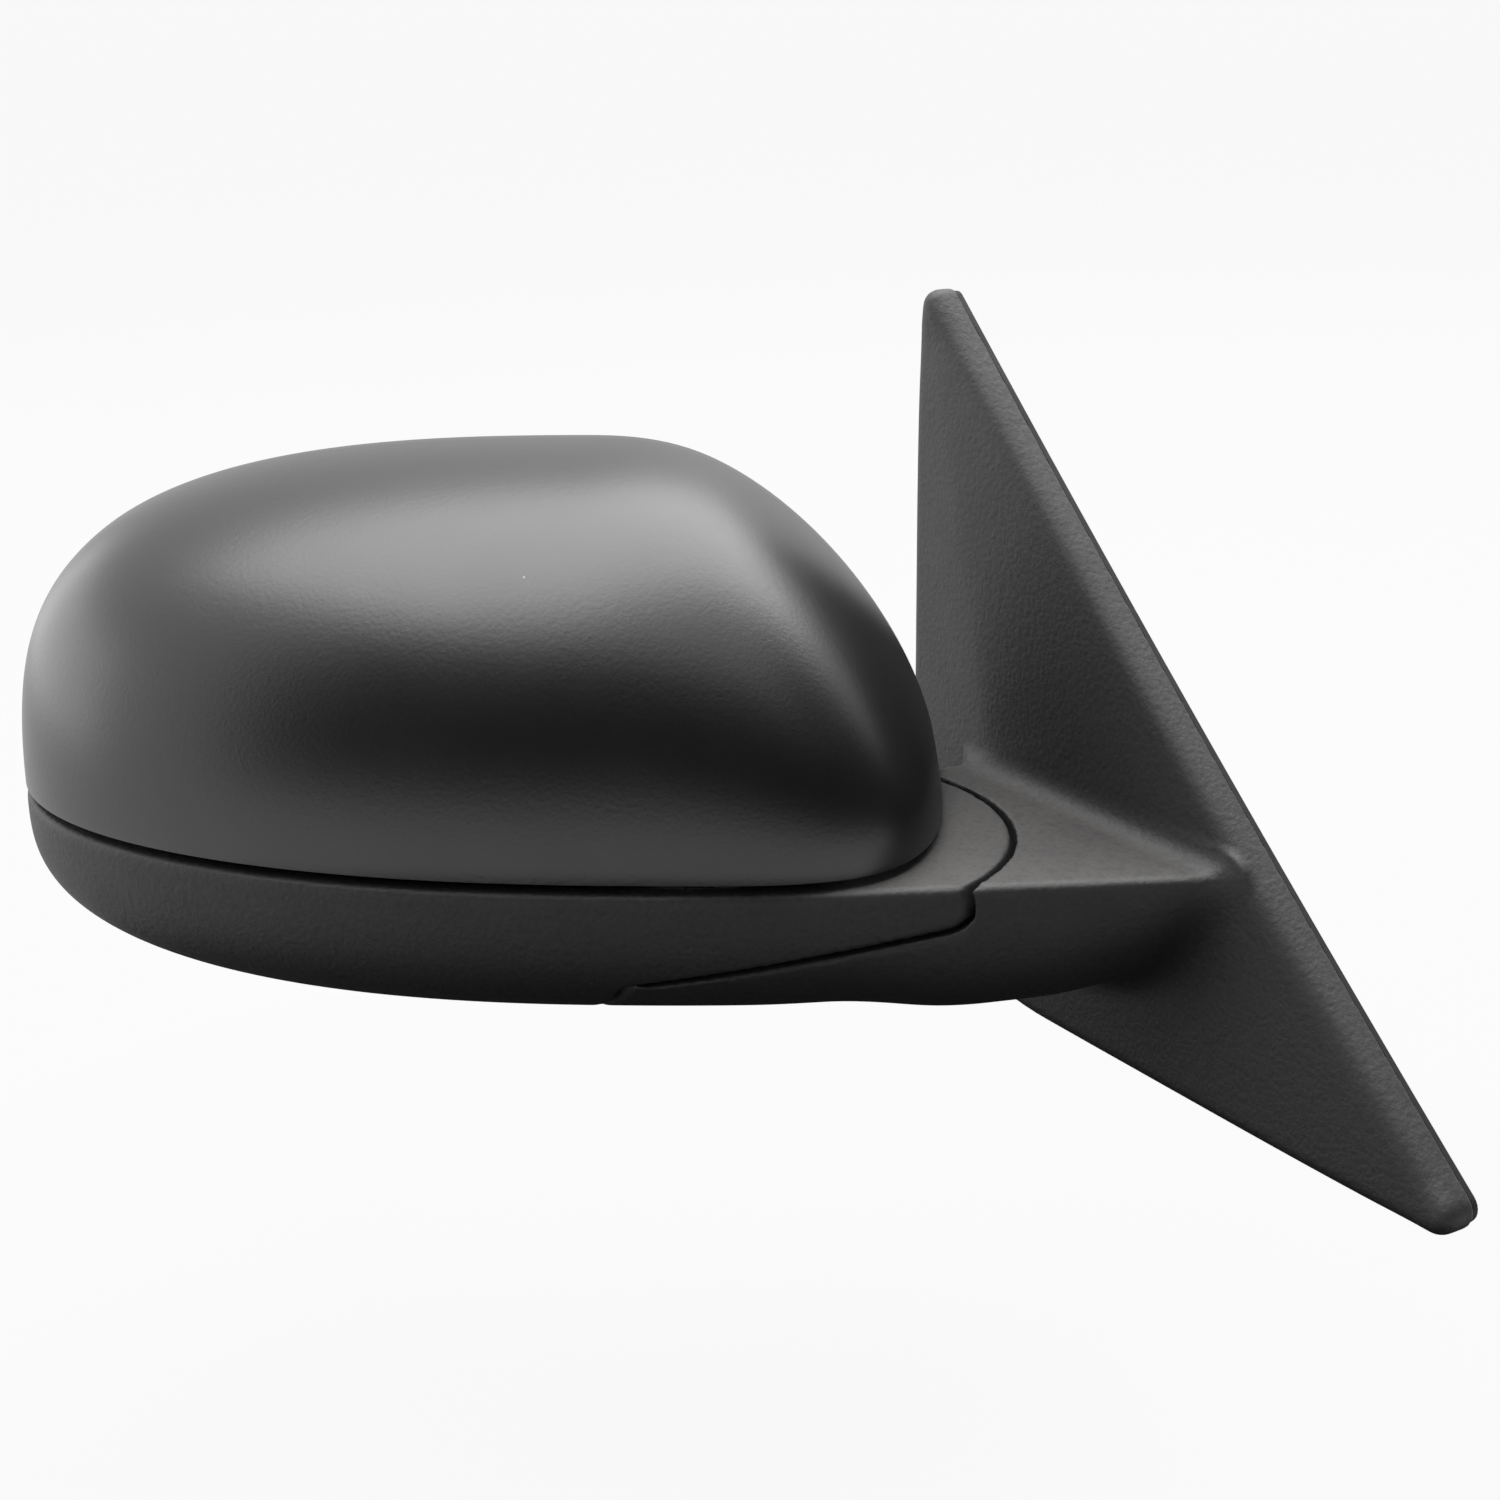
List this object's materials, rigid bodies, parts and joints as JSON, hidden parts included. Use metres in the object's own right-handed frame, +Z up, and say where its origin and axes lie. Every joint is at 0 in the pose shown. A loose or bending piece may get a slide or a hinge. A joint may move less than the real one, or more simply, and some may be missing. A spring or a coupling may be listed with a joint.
{
  "type": "car side mirror",
  "caption": "Right-hand folding door mirror: rounded satin cap over a grained skirt, swivel arm and triangular sail, with adjustable heated glass.",
  "frame": {"origin": "on the door-side face of the mount bracket, level with the flat shelf on top of the arm", "axes": "+X into the door, square to the mounting face; +Y to the rear of the car; +Z up"},
  "size_m": [0.2588, 0.3116, 0.1894],
  "materials": {
    "cap_plastic": "satin black with a very fine grain",
    "grained_plastic": "black with a moulded grain",
    "inner_plastic": "plain moulded black",
    "white_nylon": "natural nylon",
    "cast_aluminium": "as cast",
    "plated_steel": "zinc plated",
    "spring_steel": "dark oiled",
    "rubber": "dull black",
    "brass": "turned",
    "heater_film": "thin printed film",
    "mirror_glass": "silvered glass"
  },
  "bodies": {
    "base": {"base_cover": "grained_plastic", "mount_bracket": "cast_aluminium", "sail_gasket": "rubber", "mounting_stud_1": "plated_steel", "mounting_stud_2": "plated_steel", "mounting_stud_3": "plated_steel", "harness_grommet": "rubber", "cover_screw_1": "plated_steel", "cover_screw_2": "plated_steel", "pivot_post": "plated_steel", "detent_ring": "plated_steel", "fold_spring": "spring_steel", "spring_retainer": "plated_steel", "post_clip": "spring_steel"},
    "head": {"cap_cover": "cap_plastic", "lower_skirt": "grained_plastic", "bezel": "grained_plastic", "carrier_frame": "inner_plastic", "pivot_bush": "white_nylon", "skirt_screw_1": "plated_steel", "skirt_screw_2": "plated_steel", "actuator_case_front": "inner_plastic", "actuator_case_rear": "inner_plastic", "actuator_socket": "white_nylon", "actuator_screw_1": "plated_steel", "actuator_screw_2": "plated_steel", "actuator_screw_3": "plated_steel", "motor_pan": "plated_steel", "motor_tilt": "plated_steel"},
    "gimbal": {"gimbal_ring": "white_nylon"},
    "glass": {"adjuster_plate": "inner_plastic", "glass_holder": "inner_plastic", "heater_pad": "heater_film", "mirror_glass": "mirror_glass", "heater_tab_1": "brass", "heater_tab_2": "brass"},
    "pan_jack": {"jack_screw_pan": "white_nylon"},
    "tilt_jack": {"jack_screw_tilt": "white_nylon"},
    "pan_gear": {"drive_gear_pan": "white_nylon"},
    "tilt_gear": {"drive_gear_tilt": "white_nylon"},
    "pan_worm": {"worm_pan": "brass"},
    "tilt_worm": {"worm_tilt": "brass"}
  },
  "joints": [
    {"name": "head_fold", "type": "hinge", "parent": "base", "child": "head", "pos_m": [-0.084, 0.035, 0], "axis": [-0.1557, 0.1011, 0.9826], "range_deg": [-57, 48]},
    {"name": "glass_tilt", "type": "hinge", "parent": "head", "child": "gimbal", "pos_m": [-0.13731, 0.10897, 0.027], "axis": [-0.8387, 0.5446, 0], "range_deg": [-8, 8]},
    {"name": "glass_pan", "type": "hinge", "parent": "gimbal", "child": "glass", "pos_m": [-0.13731, 0.10897, 0.027], "axis": [0, 0, 1], "range_deg": [-8, 8]},
    {"name": "jack_pan_slide", "type": "slide", "parent": "head", "child": "pan_jack", "axis": [-0.5446, -0.8387, 0], "range_m": [-0.0043, 0.0043]},
    {"name": "jack_tilt_slide", "type": "slide", "parent": "head", "child": "tilt_jack", "axis": [-0.5446, -0.8387, 0], "range_m": [-0.0043, 0.0043]},
    {"name": "gear_pan_spin", "type": "hinge", "parent": "head", "child": "pan_gear", "pos_m": [-0.17282, 0.10937, 0.027], "axis": [-0.5446, -0.8387, 0], "range_deg": [-255, 255]},
    {"name": "gear_tilt_spin", "type": "hinge", "parent": "head", "child": "tilt_gear", "pos_m": [-0.14766, 0.09304, -0.003], "axis": [-0.5446, -0.8387, 0], "range_deg": [-255, 255]},
    {"name": "worm_pan_spin", "type": "hinge", "parent": "head", "child": "pan_worm", "pos_m": [-0.15924, 0.10055, 0.027], "axis": [0, 0, 1], "range_deg": [-1765, 1765]},
    {"name": "worm_tilt_spin", "type": "hinge", "parent": "head", "child": "tilt_worm", "pos_m": [-0.14766, 0.09304, 0.0132], "axis": [-0.8387, 0.5446, 0], "range_deg": [-1765, 1765]}
  ],
  "couplings": [
    {"joint": "jack_pan_slide", "follows": "glass_pan", "m_per_rad": 0.03},
    {"joint": "gear_pan_spin", "follows": "glass_pan", "ratio": -31.416},
    {"joint": "worm_pan_spin", "follows": "glass_pan", "ratio": 219.91},
    {"joint": "jack_tilt_slide", "follows": "glass_tilt", "m_per_rad": 0.03},
    {"joint": "gear_tilt_spin", "follows": "glass_tilt", "ratio": -31.416},
    {"joint": "worm_tilt_spin", "follows": "glass_tilt", "ratio": 219.91}
  ]
}
